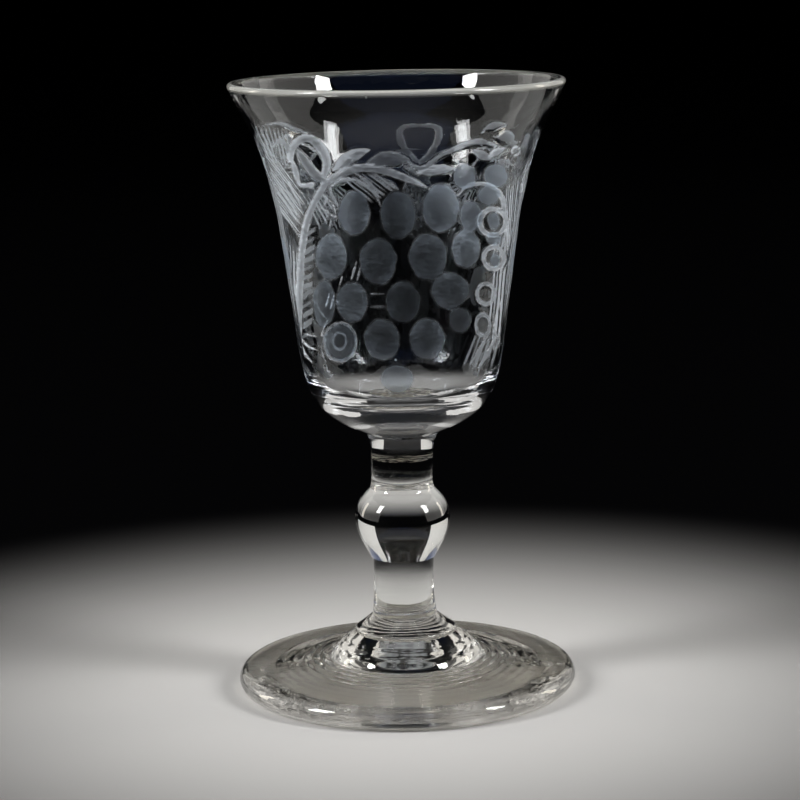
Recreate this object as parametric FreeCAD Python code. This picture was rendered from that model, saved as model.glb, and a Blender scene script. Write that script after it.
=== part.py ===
"""A small stemmed drinking glass of the nineteenth century: a flared bell bowl with a thick base,
a short stem with one pear-shaped knop, and a heavy round foot with a raised centre.

It is built as a glassmaker builds it. Each gather of glass is one solid, turned about the Z axis,
and each sits face to face on the one below it. The origin is the centre of the ring that the foot
stands on, +Z is up, and all lengths are in millimetres.
"""

import FreeCAD, Part
import math
import os

# Foot: a round plate with a full round edge, a hollow underside and a raised dome at its centre.
# The pontil scar is the stub of glass left in the hollow where the maker's iron rod was broken off.
foot_radius = 37.6
foot_edge_thickness = 4.9
foot_plate_rise = 2.0
standing_ring_inner_radius = 29.6
underside_hollow_depth = 3.4
pontil_scar_radius = 5.6
pontil_scar_drop = 0.8
pontil_scar_taper = 0.9
foot_dome_radius = 17.2
foot_dome_height = 5.5
foot_dome_shoulder_shares = (0.55, 0.57)

# Foot collar: the flared bit that joins the lower stem to the dome of the foot
foot_collar_radius = 11.1
foot_collar_height = 3.9
foot_collar_band_height = 0.9
foot_collar_flare_shares = (0.42, 0.46)

# Lower stem: slightly waisted
lower_stem_length = 13.1
lower_stem_bottom_radius = 7.2
lower_stem_waist_radius = 6.6
lower_stem_top_radius = 6.8

# Knop: widest above its middle, with a short tapered ring on top of it
knop_radius = 10.5
knop_neck_radius = 7.1
knop_body_height = 15.3
knop_ring_height = 1.3

# The side of the knop: shares of its height and of the bulge beyond its neck
knop_side_shares = ((0.17, 0.42), (0.36, 0.81), (0.59, 1.0), (0.80, 0.77), (0.93, 0.38))

# Upper stem, and the bowl collar above it
upper_stem_length = 5.8
upper_stem_end_radius = 6.85
upper_stem_waist_radius = 6.72
bowl_collar_height = 5.7
bowl_collar_neck_radius = 7.0
bowl_collar_top_radius = 8.0
bowl_collar_neck_share = 0.6

# Bowl: a rounded base, and a long bell that flares from the waist to a fire-polished lip
bowl_height = 77.3
bowl_rim_radius = 36.5
bowl_lip_bead_radius = 0.85
bowl_lip_flare_degrees = 27
bowl_lip_inner_flare_degrees = 20
bowl_waist_radius = 22.4
bowl_waist_height = 17.9
bowl_base_thickness = 8.0
bowl_wall_thickness = 1.5
bowl_lower_wall_extra = 0.6
bowl_floor_radius = 11.5
bowl_floor_rise = 0.5

# The outside of the base, from the collar to the waist: shares of its radial and vertical extent
base_turn_shares = ((0.38, 0.145), (0.70, 0.335), (0.888, 0.614))

# The bell from the waist to the lip: shares of its vertical and radial extent
bell_shares = ((0.20, 0.107), (0.45, 0.243), (0.65, 0.40), (0.81, 0.612), (0.92, 0.838))

# The inside turn from the floor to the waist: shares of its radial and vertical extent
floor_turn_shares = ((0.36, 0.06), (0.66, 0.22), (0.845, 0.475))

# Heights of the faces at which the pieces are joined, from the standing plane up
dome_foot_z = foot_edge_thickness + foot_plate_rise
foot_top_z = dome_foot_z + foot_dome_height
foot_collar_top_z = foot_top_z + foot_collar_height
lower_stem_top_z = foot_collar_top_z + lower_stem_length
knop_ring_z = lower_stem_top_z + knop_body_height
knop_top_z = knop_ring_z + knop_ring_height
upper_stem_top_z = knop_top_z + upper_stem_length
bowl_base_z = upper_stem_top_z + bowl_collar_height
rim_z = bowl_base_z + bowl_height

UP = FreeCAD.Vector(0, 0, 1)
OUT = FreeCAD.Vector(1, 0, 0)
AXIS_POINT = FreeCAD.Vector(0, 0, 0)


def at(radius, height):
    """A point of a profile, in the plane that is turned about Z."""
    return FreeCAD.Vector(radius, 0, height)


def between(low, high, share):
    return low + (high - low) * share


def line(start, end):
    return Part.LineSegment(start, end).toShape()


def arc(start, middle, end):
    return Part.Arc(start, middle, end).toShape()


def on_circle(centre, radius, degrees):
    """The point of a circle in a direction that is measured from outwards to up."""
    turn = math.radians(degrees)
    return centre + OUT * (radius * math.cos(turn)) + UP * (radius * math.sin(turn))


def round_arc(centre, radius, first_degrees, last_degrees):
    """An arc about a centre, from one direction to another."""
    stops = (first_degrees, (first_degrees + last_degrees) / 2, last_degrees)
    return arc(*(on_circle(centre, radius, degrees) for degrees in stops))


def curve(points):
    """A smooth curve through the points."""
    spline = Part.BSplineCurve()
    spline.interpolate(points)
    return spline.toShape()


def turned(edges):
    """The solid that a closed profile sweeps in one turn about Z."""
    face = Part.Face(Part.Wire(edges))
    solid = face.revolve(AXIS_POINT, UP, 360)
    return solid if solid.Volume > 0 else solid.reversed()


def dish_arc(edge_radius, edge_z, centre_z, last_radius):
    """An arc of a shallow sphere about the Z axis, from its edge in to last_radius."""
    rise = centre_z - edge_z
    sphere_radius = (edge_radius**2 + rise**2) / (2 * rise)
    sphere_centre = at(0, centre_z - sphere_radius)
    first_degrees = math.degrees(math.acos(edge_radius / abs(sphere_radius)))
    last_degrees = math.degrees(math.acos(last_radius / abs(sphere_radius)))
    side = math.copysign(1, rise)
    return round_arc(sphere_centre, abs(sphere_radius), side * first_degrees, side * last_degrees)


def make_foot():
    edge_radius = foot_edge_thickness / 2
    edge_centre = at(foot_radius - edge_radius, edge_radius)
    hollow = dish_arc(standing_ring_inner_radius, 0, underside_hollow_depth, pontil_scar_radius)
    scar_root = hollow.Vertexes[-1].Point
    scar_tip = scar_root - OUT * pontil_scar_taper - UP * pontil_scar_drop
    dome_side = at(foot_dome_radius, dome_foot_z)
    dome_top = at(foot_collar_radius, foot_top_z)
    out_share, up_share = foot_dome_shoulder_shares
    dome_shoulder = at(
        between(dome_top.x, dome_side.x, out_share), between(dome_side.z, dome_top.z, up_share)
    )
    return turned(
        [
            line(at(0, scar_tip.z), scar_tip),
            line(scar_tip, scar_root),
            hollow,
            line(at(standing_ring_inner_radius, 0), edge_centre - UP * edge_radius),
            round_arc(edge_centre, edge_radius, -90, 90),
            line(edge_centre + UP * edge_radius, dome_side),
            arc(dome_side, dome_shoulder, dome_top),
            line(dome_top, at(0, foot_top_z)),
            line(at(0, foot_top_z), at(0, scar_tip.z)),
        ]
    )


def make_foot_collar():
    band_bottom = at(foot_collar_radius, foot_top_z)
    band_top = band_bottom + UP * foot_collar_band_height
    neck = at(lower_stem_bottom_radius, foot_collar_top_z)
    out_share, down_share = foot_collar_flare_shares
    flare_middle = at(between(neck.x, band_top.x, out_share), between(neck.z, band_top.z, down_share))
    return turned(
        [
            line(at(0, foot_top_z), band_bottom),
            line(band_bottom, band_top),
            arc(band_top, flare_middle, neck),
            line(neck, at(0, foot_collar_top_z)),
            line(at(0, foot_collar_top_z), at(0, foot_top_z)),
        ]
    )


def make_stem(bottom_z, top_z, bottom_radius, waist_radius, top_radius):
    """A waisted length of stem between two joint faces."""
    bottom, top = at(bottom_radius, bottom_z), at(top_radius, top_z)
    waist = at(waist_radius, (bottom_z + top_z) / 2)
    return turned(
        [
            line(at(0, bottom_z), bottom),
            arc(bottom, waist, top),
            line(top, at(0, top_z)),
            line(at(0, top_z), at(0, bottom_z)),
        ]
    )


def make_knop():
    bulge = knop_radius - knop_neck_radius
    bottom = at(knop_neck_radius, lower_stem_top_z)
    ring_bottom = at(knop_neck_radius, knop_ring_z)
    side = [
        at(knop_neck_radius + bulge * bulge_share, between(bottom.z, ring_bottom.z, height_share))
        for height_share, bulge_share in knop_side_shares
    ]
    ring_top = at(upper_stem_end_radius, knop_top_z)
    return turned(
        [
            line(at(0, lower_stem_top_z), bottom),
            curve([bottom] + side + [ring_bottom]),
            line(ring_bottom, ring_top),
            line(ring_top, at(0, knop_top_z)),
            line(at(0, knop_top_z), at(0, lower_stem_top_z)),
        ]
    )


def make_bowl_collar():
    bottom = at(upper_stem_end_radius, upper_stem_top_z)
    neck_z = between(upper_stem_top_z, bowl_base_z, bowl_collar_neck_share)
    neck = at(bowl_collar_neck_radius, neck_z)
    top = at(bowl_collar_top_radius, bowl_base_z)
    return turned(
        [
            line(at(0, upper_stem_top_z), bottom),
            curve([bottom, neck, top]),
            line(top, at(0, bowl_base_z)),
            line(at(0, bowl_base_z), at(0, upper_stem_top_z)),
        ]
    )


def bell_points(inset_at):
    """Points up the bell, from the waist to under the lip, each moved in by inset_at(share)."""
    waist_z = bowl_base_z + bowl_waist_height
    lip_z = rim_z - bowl_lip_bead_radius
    points = [at(bowl_waist_radius - inset_at(0), waist_z)]
    for height_share, radius_share in bell_shares:
        radius = between(bowl_waist_radius, bowl_rim_radius, radius_share)
        points.append(at(radius - inset_at(height_share), between(waist_z, lip_z, height_share)))
    return points


def wall_at(height_share):
    """The thickness of the bell's wall, which is greatest at the waist."""
    return bowl_wall_thickness + bowl_lower_wall_extra * (1 - height_share) ** 2


def make_bowl():
    base_edge = at(bowl_collar_top_radius, bowl_base_z)
    outside = bell_points(lambda share: 0)
    inside = bell_points(wall_at)
    waist, inner_waist = outside[0], inside[0]
    outer_turn = [
        at(between(base_edge.x, waist.x, r), between(base_edge.z, waist.z, h))
        for r, h in base_turn_shares
    ]
    floor_z = bowl_base_z + bowl_base_thickness
    floor_edge = at(bowl_floor_radius, floor_z + bowl_floor_rise)
    inner_turn = [
        at(between(floor_edge.x, inner_waist.x, r), between(floor_edge.z, inner_waist.z, h))
        for r, h in floor_turn_shares
    ]
    bead = bowl_lip_bead_radius
    bead_centre = at(bowl_rim_radius - bead, rim_z - bead)
    outer_degrees = -bowl_lip_flare_degrees
    inner_degrees = 180 - bowl_lip_inner_flare_degrees
    bead_outside = on_circle(bead_centre, bead, outer_degrees)
    bead_inside = on_circle(bead_centre, bead, inner_degrees)
    return turned(
        [
            line(at(0, bowl_base_z), base_edge),
            curve([base_edge] + outer_turn + [waist]),
            curve(outside + [bead_outside]),
            round_arc(bead_centre, bead, outer_degrees, inner_degrees),
            curve(inside + [bead_inside]),
            curve([floor_edge] + inner_turn + [inner_waist]),
            dish_arc(bowl_floor_radius, floor_edge.z, floor_z, 0),
            line(at(0, floor_z), at(0, bowl_base_z)),
        ]
    )


pieces = {
    "foot": make_foot(),
    "foot_collar": make_foot_collar(),
    "lower_stem": make_stem(
        foot_collar_top_z,
        lower_stem_top_z,
        lower_stem_bottom_radius,
        lower_stem_waist_radius,
        lower_stem_top_radius,
    ),
    "knop": make_knop(),
    "upper_stem": make_stem(
        knop_top_z,
        upper_stem_top_z,
        upper_stem_end_radius,
        upper_stem_waist_radius,
        upper_stem_end_radius,
    ),
    "bowl_collar": make_bowl_collar(),
    "bowl": make_bowl(),
}

os.makedirs("parts", exist_ok=True)
for name, shape in pieces.items():
    shape.exportStep(os.path.join("parts", name + ".step"))
    box = shape.BoundBox
    print(name, "valid", shape.isValid(), "volume", round(shape.Volume, 1), end=" ")
    print("z", round(box.ZMin, 2), round(box.ZMax, 2), "radius", round(box.XMax, 2))
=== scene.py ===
"""The looks of a small engraved glass goblet: seven gathers of clear glass, a wheel-engraved vine
with grapes round the bell, and the studio they stand in.

Sizes are in millimetres and are turned into metres where a mesh, a lamp or the camera is made.
The outlines repeat the solids' own sizes. Pixels are those of the photograph's 800 by 800 frame.
"""

import math

import bmesh
import bpy
import numpy as np
from mathutils import Matrix, Vector


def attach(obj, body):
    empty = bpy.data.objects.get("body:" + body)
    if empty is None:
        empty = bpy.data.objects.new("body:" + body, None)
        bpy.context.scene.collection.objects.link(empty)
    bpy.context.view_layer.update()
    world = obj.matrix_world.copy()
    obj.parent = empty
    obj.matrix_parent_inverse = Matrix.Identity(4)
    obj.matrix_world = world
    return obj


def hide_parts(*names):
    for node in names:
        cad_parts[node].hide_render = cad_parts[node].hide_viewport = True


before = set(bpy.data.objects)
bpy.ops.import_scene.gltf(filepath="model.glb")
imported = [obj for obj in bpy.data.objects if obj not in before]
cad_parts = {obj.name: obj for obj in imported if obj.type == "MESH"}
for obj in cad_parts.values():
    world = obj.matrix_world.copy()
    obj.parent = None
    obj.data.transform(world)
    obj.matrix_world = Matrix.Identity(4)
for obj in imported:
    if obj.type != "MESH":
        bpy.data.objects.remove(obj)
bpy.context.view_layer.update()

MM = 0.001
BODY = "root"

# Foot
foot_radius = 37.6
foot_edge_thickness = 4.9
foot_plate_rise = 2.0
standing_ring_inner_radius = 29.6
underside_hollow_depth = 3.4
pontil_scar_radius = 5.6
pontil_scar_drop = 0.8
pontil_scar_taper = 0.9
foot_dome_radius = 17.2
foot_dome_height = 5.5
foot_dome_shoulder_shares = (0.55, 0.57)

# Foot collar
foot_collar_radius = 11.1
foot_collar_height = 3.9
foot_collar_band_height = 0.9
foot_collar_flare_shares = (0.42, 0.46)

# Stem and knop
lower_stem_length = 13.1
lower_stem_bottom_radius = 7.2
lower_stem_waist_radius = 6.6
lower_stem_top_radius = 6.8
knop_radius = 10.5
knop_neck_radius = 7.1
knop_body_height = 15.3
knop_ring_height = 1.3
knop_side_shares = ((0.17, 0.42), (0.36, 0.81), (0.59, 1.0), (0.80, 0.77), (0.93, 0.38))
upper_stem_length = 5.8
upper_stem_end_radius = 6.85
upper_stem_waist_radius = 6.72

# Bowl collar and bowl
bowl_collar_height = 5.7
bowl_collar_neck_radius = 7.0
bowl_collar_top_radius = 8.0
bowl_collar_neck_share = 0.6
bowl_height = 77.3
bowl_rim_radius = 36.5
bowl_lip_bead_radius = 0.85
bowl_lip_flare_degrees = 27
bowl_lip_inner_flare_degrees = 20
bowl_waist_radius = 22.4
bowl_waist_height = 17.9
bowl_base_thickness = 8.0
bowl_wall_thickness = 1.5
bowl_lower_wall_extra = 0.6
bowl_floor_radius = 11.5
bowl_floor_rise = 0.5
base_turn_shares = ((0.38, 0.145), (0.70, 0.335), (0.888, 0.614))
bell_shares = ((0.20, 0.107), (0.45, 0.243), (0.65, 0.40), (0.81, 0.612), (0.92, 0.838))
floor_turn_shares = ((0.36, 0.06), (0.66, 0.22), (0.845, 0.475))

# Heights of the faces at which the gathers are joined
dome_foot_z = foot_edge_thickness + foot_plate_rise
foot_top_z = dome_foot_z + foot_dome_height
foot_collar_top_z = foot_top_z + foot_collar_height
lower_stem_top_z = foot_collar_top_z + lower_stem_length
knop_ring_z = lower_stem_top_z + knop_body_height
knop_top_z = knop_ring_z + knop_ring_height
upper_stem_top_z = knop_top_z + upper_stem_length
bowl_base_z = upper_stem_top_z + bowl_collar_height
waist_z = bowl_base_z + bowl_waist_height
rim_z = bowl_base_z + bowl_height

# The camera, fitted to the ellipses of the rim and foot and to the silhouette
camera_side = -0.5
camera_distance = 567.0
camera_height = 169.6
camera_pitch_degrees = 10.5
camera_roll_degrees = 1.1
frame_pixels = 800
camera_focal_pixels = 2618.0
sensor_width = 36.0
clip_distances = (0.01, 20)


def camera_axes():
    """The camera's directions to the right, up and forward, with its roll."""
    pitch = math.radians(camera_pitch_degrees)
    roll = math.radians(camera_roll_degrees)
    forward = np.array([0, math.cos(pitch), -math.sin(pitch)])
    level_right = np.array([1, 0, 0])
    level_up = np.array([0, math.sin(pitch), math.cos(pitch)])
    right = level_right * math.cos(roll) - level_up * math.sin(roll)
    up = level_right * math.sin(roll) + level_up * math.cos(roll)
    return right, up, forward


camera_place = np.array([camera_side, -camera_distance, camera_height])


def between(low, high, share):
    return low + (high - low) * share


def line(start, end, steps=1):
    return [between(np.array(start), np.array(end), i / steps) for i in range(steps + 1)]


def circle_arc(centre, radius, first_degrees, last_degrees, steps):
    """Points of an arc, in directions measured from outwards to up."""
    turns = np.radians(np.linspace(first_degrees, last_degrees, steps + 1))
    return [np.array(centre) + radius * np.array([math.cos(t), math.sin(t)]) for t in turns]


def arc_through(start, middle, end, steps):
    """Points of the circular arc through three points."""
    (ax, ay), (bx, by), (cx, cy) = start, middle, end
    double_area = 2 * (ax * (by - cy) + bx * (cy - ay) + cx * (ay - by))
    a2, b2, c2 = ax**2 + ay**2, bx**2 + by**2, cx**2 + cy**2
    centre_x = (a2 * (by - cy) + b2 * (cy - ay) + c2 * (ay - by)) / double_area
    centre_y = (a2 * (cx - bx) + b2 * (ax - cx) + c2 * (bx - ax)) / double_area
    turns = np.unwrap([math.atan2(y - centre_y, x - centre_x) for x, y in (start, middle, end)])
    first, last = np.degrees(turns[[0, 2]])
    radius = math.hypot(ax - centre_x, ay - centre_y)
    return circle_arc((centre_x, centre_y), radius, first, last, steps)


def dish_arc(edge_radius, edge_z, centre_z, last_radius, steps):
    """Points of a shallow sphere about the axis, from its edge in to last_radius."""
    rise = centre_z - edge_z
    sphere_radius = (edge_radius**2 + rise**2) / (2 * rise)
    radii = np.linspace(edge_radius, last_radius, steps + 1)
    drops = abs(sphere_radius) - np.sqrt(sphere_radius**2 - radii**2)
    return [np.array([r, centre_z - math.copysign(drop, rise)]) for r, drop in zip(radii, drops)]


def smooth(points, steps):
    """Points along the natural cubic curve through the given ones."""
    points = np.array(points, float)
    gaps = np.linalg.norm(np.diff(points, axis=0), axis=1)
    knots = np.concatenate(([0], np.cumsum(gaps)))
    count = len(points)
    matrix, sides = np.eye(count), np.zeros((count, 2))
    for i in range(1, count - 1):
        matrix[i, i - 1 : i + 2] = gaps[i - 1], 2 * (gaps[i - 1] + gaps[i]), gaps[i]
        rise_after = (points[i + 1] - points[i]) / gaps[i]
        rise_before = (points[i] - points[i - 1]) / gaps[i - 1]
        sides[i] = 6 * (rise_after - rise_before)
    bends = np.linalg.solve(matrix, sides)
    places = np.linspace(0, knots[-1], steps + 1)
    span = np.clip(np.searchsorted(knots, places, side="right") - 1, 0, count - 2)
    gap = gaps[span][:, None]
    left = (knots[span + 1] - places)[:, None] / gap
    right = 1 - left
    bent = ((left**3 - left) * bends[span] + (right**3 - right) * bends[span + 1]) * gap**2 / 6
    return list(left * points[span] + right * points[span + 1] + bent)


def joined(*runs):
    """One list of points from runs that each start where the last one ends."""
    points = list(runs[0])
    for run in runs[1:]:
        points += list(run)[1:]
    return points


def wall_at(height_share):
    return bowl_wall_thickness + bowl_lower_wall_extra * (1 - height_share) ** 2


lip_centre = (bowl_rim_radius - bowl_lip_bead_radius, rim_z - bowl_lip_bead_radius)
lip_outer_degrees = -bowl_lip_flare_degrees
lip_inner_degrees = 180 - bowl_lip_inner_flare_degrees


def bell_side(inset_at, lip_degrees, steps):
    """The bell's outline from the waist to the lip's bead, moved in by inset_at(height share)."""
    points = [(bowl_waist_radius - inset_at(0), waist_z)]
    for height_share, radius_share in bell_shares:
        radius = between(bowl_waist_radius, bowl_rim_radius, radius_share)
        points.append((radius - inset_at(height_share), between(waist_z, lip_centre[1], height_share)))
    bead = circle_arc(lip_centre, bowl_lip_bead_radius, lip_degrees, lip_degrees, 1)
    return smooth(points + bead[:1], steps)


# The materials of each piece: the glass, its joint faces, where the gathers are one glass, and a seam
GLASS, JOINT, SEAM = 0, 1, 2

# A ring that is narrower than this is a pole: one point on the axis
pole_radius = 1e-6


class Lathe:
    """A mesh that is built ring by ring, from one pole on the axis to the other."""

    def __init__(self, tool_marks=0.0):
        self.tool_marks = tool_marks
        self.verts = []
        self.faces = []
        self.material_of_face = []
        self.last = None

    def ring(self, radius, z, columns, material):
        """Adds a ring of the outline and joins it to the last one."""
        first = len(self.verts)
        columns = 1 if radius < pole_radius else columns
        turns = np.arange(columns) * (2 * math.pi / columns)
        self.verts += hand_shaped(turns, np.full(columns, radius), np.full(columns, z), self.tool_marks)
        ring = (first, columns)
        if self.last is not None:
            self.stitch(self.last, ring, material)
        self.last = ring

    def stitch(self, low, high, material):
        """Joins two rings that have as many points, or of which one is a pole or has half the points."""
        (a, a_count), (b, b_count) = sorted((low, high), key=lambda ring: ring[1])
        new = []
        for i in range(b_count if a_count == 1 else a_count):
            j = (i + 1) % a_count
            if a_count == 1:
                new.append((a, b + (i + 1) % b_count, b + i))
            elif a_count == b_count:
                new.append((a + i, a + j, b + j, b + i))
            else:
                middle = b + 2 * i + 1
                new.append((a + i, middle, middle - 1))
                new.append((a + i, a + j, middle))
                new.append((a + j, b + (2 * i + 2) % b_count, middle))
        if low[1] > high[1]:
            new = [face[::-1] for face in new]
        self.faces += new
        self.material_of_face += [material] * len(new)

    def outline(self, points, columns, material=GLASS):
        for radius, z in points:
            self.ring(radius, z, columns, material)

    def mesh(self, name):
        mesh = bpy.data.meshes.new(name)
        mesh.from_pydata([tuple(c * MM for c in v) for v in self.verts], [], self.faces)
        mesh.polygons.foreach_set("material_index", self.material_of_face)
        mesh.polygons.foreach_set("use_smooth", [kind == GLASS for kind in self.material_of_face])
        mesh.update()
        self.sharpen_joints(mesh)
        return mesh

    def sharpen_joints(self, mesh):
        """The side of a piece and its joint face don't share normals at the edge between them."""
        form = bmesh.new()
        form.from_mesh(mesh)
        for edge in form.edges:
            edge.smooth = len({face.material_index for face in edge.link_faces}) == 1
        form.to_mesh(mesh)
        form.free()


# The unevenness of hot glass that was turned and shaped by hand, in millimetres and degrees. Each
# wave has a count round the axis, a pace up the height, a size and a phase. The stem leans out to
# one side from the foot to a share of its height, and back again near the bowl.
out_of_round = 0.05
round_waves = ((1, 0.045, 0.2, 40), (2, 0.08, 1.0, 200), (3, 0.13, 0.6, 310), (5, 0.21, 0.3, 95))
stem_off_axis = 0.4
off_axis_stem_share = 0.7
off_axis_end_run = 6.0

# Rings that the tool left on the foot: their height and pitch, how far they drift from true, as a
# share of the pitch, how they differ on the underside, and where they fade
foot_tool_marks = 0.11
tool_mark_pitch = 2.0
tool_mark_drift = 0.14
drift_turn = 1.0
drift_wave_share = 0.4
underside_phase = 1.9
underside_edge_shares = (0.9, 0.8)
plate_mark_share = 0.22
plate_fade_run = 8.0
collar_fade_run = 1.0
standing_fade_heights = (0.1, 0.6)
edge_fade_runs = (2.0, 5.0)
dome_fade_drops = (1.5, 0.5)


def ease(value, low, high):
    """A smooth step from 0 at low to 1 at high."""
    share = np.clip((value - low) / (high - low), 0, 1)
    return share * share * (3 - 2 * share)


def hand_shaped(turns, radii, heights, tool_marks):
    """Points of a ring, with the slight unevenness that hand work leaves.

    It depends on the place alone, so two pieces that meet have the same edge.
    """
    shift = np.zeros(len(turns))
    for count, wave, size, degrees in round_waves:
        phase = math.radians(degrees)
        shift += size * np.cos(count * turns + phase) * np.cos(wave * heights + 2 * phase)
    radii = radii + out_of_round * shift * np.clip(radii / knop_neck_radius, 0, 1)
    if tool_marks:
        under = ease(heights, *(foot_edge_thickness * share for share in underside_edge_shares))
        drift = tool_mark_drift * (np.cos(turns + drift_turn) + drift_wave_share * np.cos(3 * turns))
        marks = np.cos(2 * math.pi * (radii / tool_mark_pitch + drift) + underside_phase * under)
        on_plate = ease(radii, foot_dome_radius, foot_dome_radius + plate_fade_run)
        fades = (
            ease(radii, pontil_scar_radius, foot_collar_radius + collar_fade_run),
            ease(heights, *standing_fade_heights),
            ease(radii, *(foot_radius - run for run in edge_fade_runs)),
            between(1, plate_mark_share, on_plate),
            1 - ease(heights, *(foot_top_z - drop for drop in dome_fade_drops)),
        )
        heights = heights + tool_marks * marks * math.prod(fades)
    lean = stem_off_axis * ease(heights, dome_foot_z, lower_stem_top_z * off_axis_stem_share)
    lean = lean * ease(heights, bowl_base_z + off_axis_end_run, upper_stem_top_z - off_axis_end_run)
    return list(zip(radii * np.cos(turns) - lean, radii * np.sin(turns), heights))


# Points round each mesh, and steps along the runs of its outline
stem_columns = 144
foot_columns = 240
bowl_columns = 240
engraved_columns = 480
scar_steps = 12
scar_side_steps = 2
hollow_steps = 60
standing_steps = 5
edge_steps = 22
plate_steps = 44
dome_steps = 26
band_steps = 3
foot_collar_steps = 12
lower_stem_steps = 30
knop_steps = 64
knop_ring_steps = 4
upper_stem_steps = 24
bowl_collar_steps = 20
base_steps = 30
plain_base_steps = 18
bell_steps = 140
lip_steps = 12
inside_steps = 44
floor_turn_steps = 20
floor_steps = 8


def foot_lathe():
    edge = foot_edge_thickness / 2
    edge_centre = (foot_radius - edge, edge)
    hollow = dish_arc(
        standing_ring_inner_radius, 0, underside_hollow_depth, pontil_scar_radius, hollow_steps
    )
    scar_root = hollow[-1]
    scar_tip = scar_root - np.array([pontil_scar_taper, pontil_scar_drop])
    dome_side = (foot_dome_radius, dome_foot_z)
    dome_top = (foot_collar_radius, foot_top_z)
    out_share, up_share = foot_dome_shoulder_shares
    dome_shoulder = (
        between(foot_collar_radius, foot_dome_radius, out_share),
        between(dome_foot_z, foot_top_z, up_share),
    )
    outline = joined(
        line((0, scar_tip[1]), scar_tip, scar_steps),
        line(scar_tip, scar_root, scar_side_steps),
        hollow[::-1],
        line((standing_ring_inner_radius, 0), (edge_centre[0], 0), standing_steps),
        circle_arc(edge_centre, edge, -90, 90, edge_steps),
        line((edge_centre[0], foot_edge_thickness), dome_side, plate_steps),
        arc_through(dome_side, dome_shoulder, dome_top, dome_steps),
    )
    lathe = Lathe(foot_tool_marks)
    lathe.outline(outline, foot_columns)
    lathe.outline([(0, foot_top_z)], foot_columns, JOINT)
    return lathe


def gather_lathe(side, top):
    """A gather between two flat joint faces, with the given side and kind of top face."""
    (low_radius, low_z), (_, high_z) = side[0], side[-1]
    lathe = Lathe()
    lathe.outline([(0, low_z), (low_radius, low_z)], stem_columns, JOINT)
    lathe.outline(side[1:], stem_columns)
    lathe.outline([(0, high_z)], stem_columns, top)
    return lathe


def foot_collar_side():
    band_top = (foot_collar_radius, foot_top_z + foot_collar_band_height)
    neck = (lower_stem_bottom_radius, foot_collar_top_z)
    out_share, down_share = foot_collar_flare_shares
    middle = (between(neck[0], band_top[0], out_share), between(neck[1], band_top[1], down_share))
    band = line((foot_collar_radius, foot_top_z), band_top, band_steps)
    return joined(band, arc_through(band_top, middle, neck, foot_collar_steps))


def lower_stem_side():
    low = (lower_stem_bottom_radius, foot_collar_top_z)
    waist = (lower_stem_waist_radius, (foot_collar_top_z + lower_stem_top_z) / 2)
    return arc_through(low, waist, (lower_stem_top_radius, lower_stem_top_z), lower_stem_steps)


def upper_stem_side():
    low = (upper_stem_end_radius, knop_top_z)
    waist = (upper_stem_waist_radius, (knop_top_z + upper_stem_top_z) / 2)
    return arc_through(low, waist, (upper_stem_end_radius, upper_stem_top_z), upper_stem_steps)


def knop_side():
    bulge = knop_radius - knop_neck_radius
    bottom = (knop_neck_radius, lower_stem_top_z)
    ring_bottom = (knop_neck_radius, knop_ring_z)
    side = [
        (knop_neck_radius + bulge * out, between(lower_stem_top_z, knop_ring_z, up))
        for up, out in knop_side_shares
    ]
    ring = line(ring_bottom, (upper_stem_end_radius, knop_top_z), knop_ring_steps)
    return joined(smooth([bottom] + side + [ring_bottom], knop_steps), ring)


def bowl_collar_side():
    neck_z = between(upper_stem_top_z, bowl_base_z, bowl_collar_neck_share)
    points = [
        (upper_stem_end_radius, upper_stem_top_z),
        (bowl_collar_neck_radius, neck_z),
        (bowl_collar_top_radius, bowl_base_z),
    ]
    return smooth(points, bowl_collar_steps)


# The upper joints were smoothed by the fire: from which height, and over how much, in millimetres
fire_softening = ((42.0, 0.45), (48.5, 1.1))
softening_start_run = 1.5
softening_end_run = 1.0
softening_samples = 561
softening_reach = 80


def fire_softened(*sides):
    """Sides that follow one another up the stem, with the corners at their joints made soft."""
    points = np.array(joined(*sides))
    top = points[-1, 1]
    heights = np.linspace(points[0, 1], top, softening_samples)
    radii = np.interp(heights, points[:, 1], points[:, 0])
    steps = np.arange(-softening_reach, softening_reach + 1) * (heights[1] - heights[0])
    for start, width in fire_softening:
        weights = np.exp(-0.5 * (steps / width) ** 2)
        padded = np.pad(radii, softening_reach, mode="reflect", reflect_type="odd")
        soft = np.convolve(padded, weights / weights.sum(), mode="valid")
        share = ease(heights, start, start + softening_start_run)
        radii = between(radii, soft, share * ease(heights, top, top - softening_end_run))
    return [[(float(np.interp(z, heights, radii)), z) for _, z in side] for side in sides]


def turn_between(low, high, shares, steps):
    """A smooth curve between two points, through shares of its radial and vertical extent."""
    middle = [(between(low[0], high[0], r), between(low[1], high[1], h)) for r, h in shares]
    return smooth([low] + middle + [high], steps)


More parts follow.
